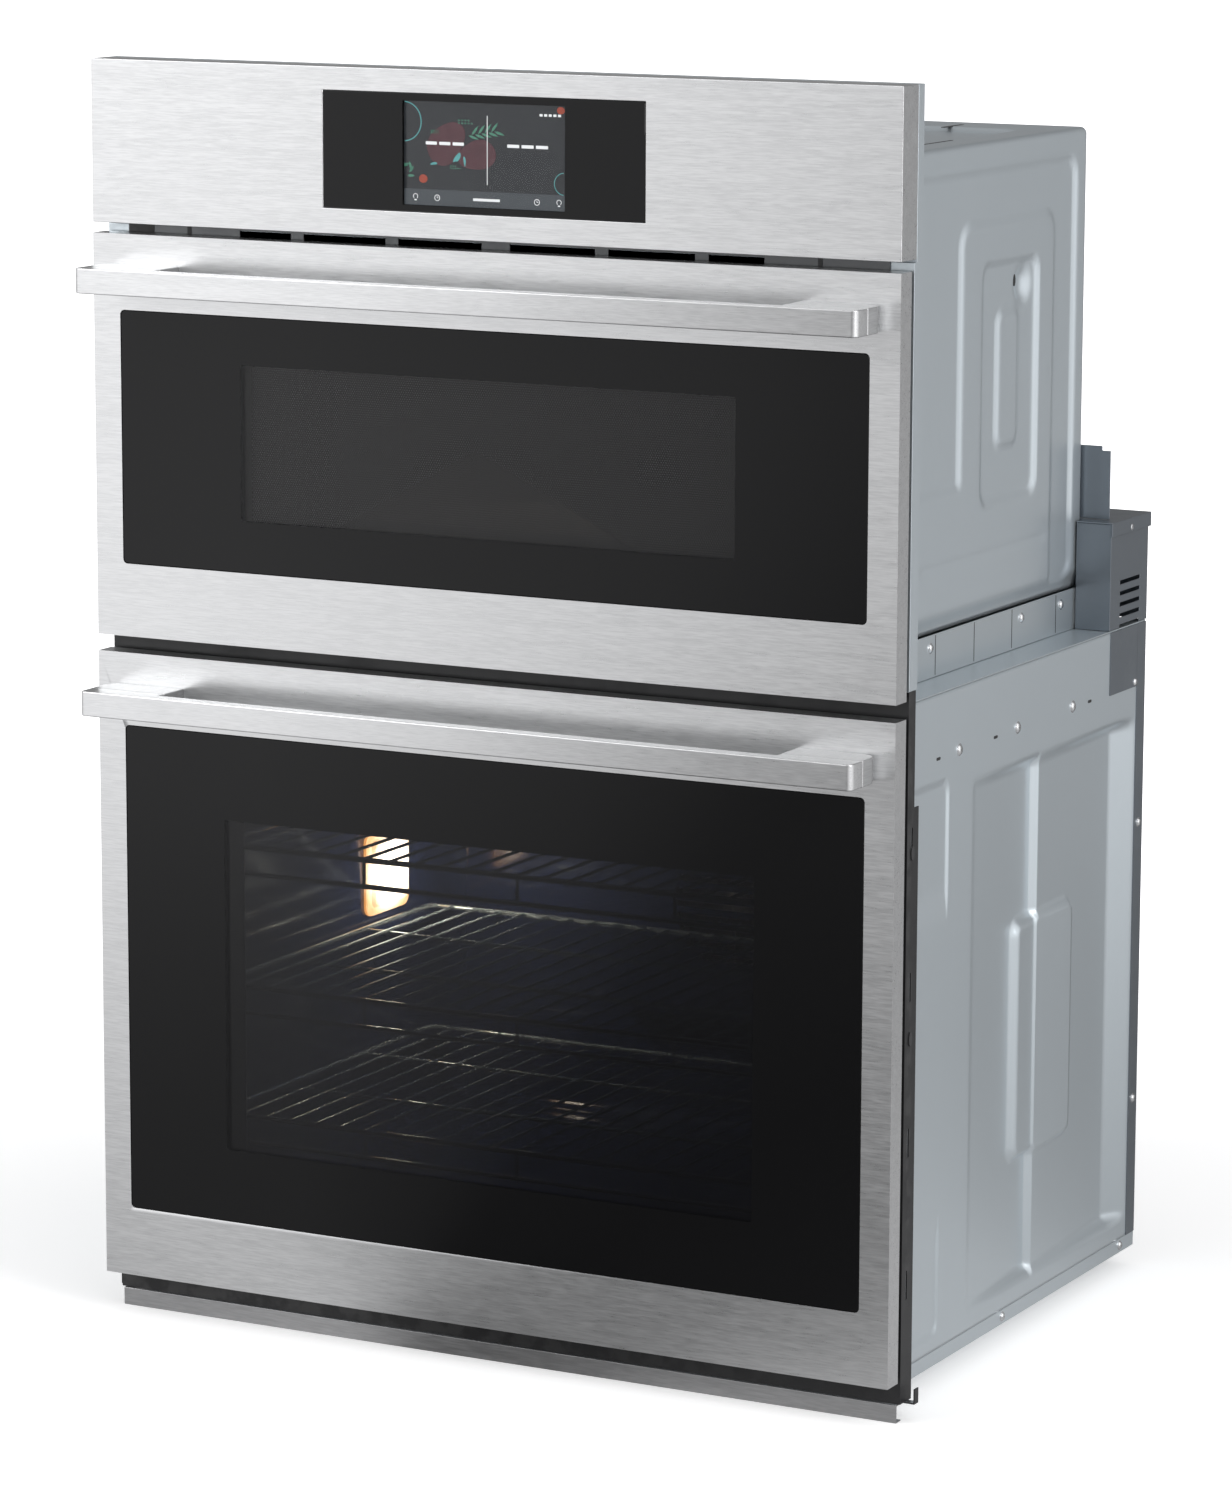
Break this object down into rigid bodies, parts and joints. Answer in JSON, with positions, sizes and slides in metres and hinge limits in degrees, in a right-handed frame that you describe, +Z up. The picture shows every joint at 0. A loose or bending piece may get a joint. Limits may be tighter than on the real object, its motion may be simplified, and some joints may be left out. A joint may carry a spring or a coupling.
{
  "type": "wall oven",
  "caption": "Built-in combination double wall oven: speed oven above a full oven, with drop-down glass doors, wire racks, turntable and touch control panel.",
  "frame": {"origin": "under the middle of the bounding box, level with the lower edge of the bottom trim", "axes": "+Z up, the doors face -Y, +X to the right of a person facing the doors"},
  "size_m": [0.772, 0.6274, 1.095],
  "materials": {
    "brushed_stainless": "brushed horizontal grain, clear lacquered",
    "case_steel": "light blue-grey galvanised sheet, pressed",
    "dark_steel": "dark grey sheet",
    "black_frame": "semi-gloss black enamel",
    "hinge_steel": "zinc plated",
    "black_glass": "gloss black printed glass",
    "clear_glass": "clear toughened glass",
    "cavity_enamel": "dark blue-black porcelain enamel with fine specks",
    "chrome_wire": "bright plated wire",
    "heating_element": "oxidised dark element sheath",
    "door_seal": "woven glass fibre rope",
    "black_plastic": "moulded black plastic",
    "display_screen": "lit colour screen",
    "circuit_board": "green board with dark components",
    "microwave_screen": "finely perforated dark sheet",
    "magnetron_metal": "plain aluminium fins and case",
    "lamp_lens": "frosted lens, lit warm white"
  },
  "bodies": {
    "chassis": {"bake_element": "heating_element", "base_pan": "case_steel", "blower_housing": "case_steel", "bottom_trim": "brushed_stainless", "broil_element": "heating_element", "control_board": "circuit_board", "control_fascia": "brushed_stainless", "control_glass": "black_glass", "convection_element": "heating_element", "display_module": "display_screen", "fan_cover": "cavity_enamel", "fan_motor": "dark_steel", "lower_back_panel": "dark_steel", "lower_cavity": "cavity_enamel", "lower_deck": "case_steel", "lower_front_frame": "black_frame", "lower_gasket": "door_seal", "lower_hinge_bracket_left": "hinge_steel", "lower_hinge_bracket_right": "hinge_steel", "lower_side_left": "case_steel", "lower_side_right": "case_steel", "magnetron": "magnetron_metal", "oven_lamp": "lamp_lens", "power_supply": "dark_steel", "rear_duct_box": "dark_steel", "rear_duct_cap": "dark_steel", "rear_shield": "dark_steel", "temperature_sensor": "chrome_wire", "turntable_motor": "dark_steel", "upper_base_rail": "case_steel", "upper_cavity": "cavity_enamel", "upper_front_frame": "case_steel", "upper_hinge_bracket_left": "hinge_steel", "upper_hinge_bracket_right": "hinge_steel", "upper_wrapper": "case_steel", "vent_grille": "case_steel"},
    "lower_door": {"lower_door_glass": "black_glass", "lower_door_inner_glass": "clear_glass", "lower_door_liner": "cavity_enamel", "lower_door_middle_glass": "clear_glass", "lower_door_skin": "brushed_stainless", "lower_handle": "brushed_stainless", "lower_hinge_arm_left": "hinge_steel", "lower_hinge_arm_right": "hinge_steel"},
    "upper_door": {"upper_door_glass": "black_glass", "upper_door_inner_glass": "clear_glass", "upper_door_liner": "cavity_enamel", "upper_door_screen": "microwave_screen", "upper_door_skin": "brushed_stainless", "upper_handle": "brushed_stainless", "upper_hinge_arm_left": "hinge_steel", "upper_hinge_arm_right": "hinge_steel"},
    "rack_bottom": {"rack_bottom": "chrome_wire"},
    "rack_middle": {"rack_middle": "chrome_wire"},
    "rack_top": {"rack_top": "chrome_wire"},
    "turntable": {"turntable_tray": "clear_glass"},
    "roller_ring": {"roller_ring": "black_plastic"},
    "convection_fan": {"convection_fan": "chrome_wire"},
    "blower_wheel": {"blower_wheel": "black_plastic"},
    "latch_hook": {"latch_hook": "hinge_steel"}
  },
  "joints": [
    {"name": "lower_door_hinge", "type": "hinge", "parent": "chassis", "child": "lower_door", "pos_m": [0, -0.2463, 0.044], "axis": [1, 0, 0], "range_deg": [0, 90], "stiffness_Nm_per_rad": 20, "springref_deg": -14.32},
    {"name": "upper_door_hinge", "type": "hinge", "parent": "chassis", "child": "upper_door", "pos_m": [0, -0.2463, 0.6112], "axis": [1, 0, 0], "range_deg": [0, 90], "stiffness_Nm_per_rad": 6, "springref_deg": -17.19},
    {"name": "rack_bottom_slide", "type": "slide", "parent": "chassis", "child": "rack_bottom", "axis": [0, -1, 0], "range_m": [0, 0.1258]},
    {"name": "rack_middle_slide", "type": "slide", "parent": "chassis", "child": "rack_middle", "axis": [0, -1, 0], "range_m": [0, 0.2357]},
    {"name": "rack_top_slide", "type": "slide", "parent": "chassis", "child": "rack_top", "axis": [0, -1, 0], "range_m": [0, 0.2907]},
    {"name": "turntable_spin", "type": "hinge", "parent": "chassis", "child": "turntable", "pos_m": [0, -0.02305, 0.6817], "axis": [0, 0, 1], "continuous": true},
    {"name": "roller_ring_spin", "type": "hinge", "parent": "chassis", "child": "roller_ring", "pos_m": [0, -0.02305, 0.6725], "axis": [0, 0, 1], "continuous": true},
    {"name": "convection_fan_spin", "type": "hinge", "parent": "chassis", "child": "convection_fan", "pos_m": [0, 0.2202, 0.3127], "axis": [0, 1, 0], "continuous": true},
    {"name": "blower_spin", "type": "hinge", "parent": "chassis", "child": "blower_wheel", "pos_m": [0, -0.1113, 0.9693], "axis": [1, 0, 0], "continuous": true},
    {"name": "latch_turn", "type": "hinge", "parent": "chassis", "child": "latch_hook", "pos_m": [0, -0.2011, 0.56005], "axis": [0, 0, -1], "range_deg": [0, 90]}
  ],
  "couplings": [
    {"joint": "rack_bottom_slide", "follows": "lower_door_hinge", "m_per_rad": 0.08},
    {"joint": "rack_middle_slide", "follows": "lower_door_hinge", "m_per_rad": 0.15},
    {"joint": "rack_top_slide", "follows": "lower_door_hinge", "m_per_rad": 0.185},
    {"joint": "roller_ring_spin", "follows": "turntable_spin", "ratio": 0.5}
  ]
}
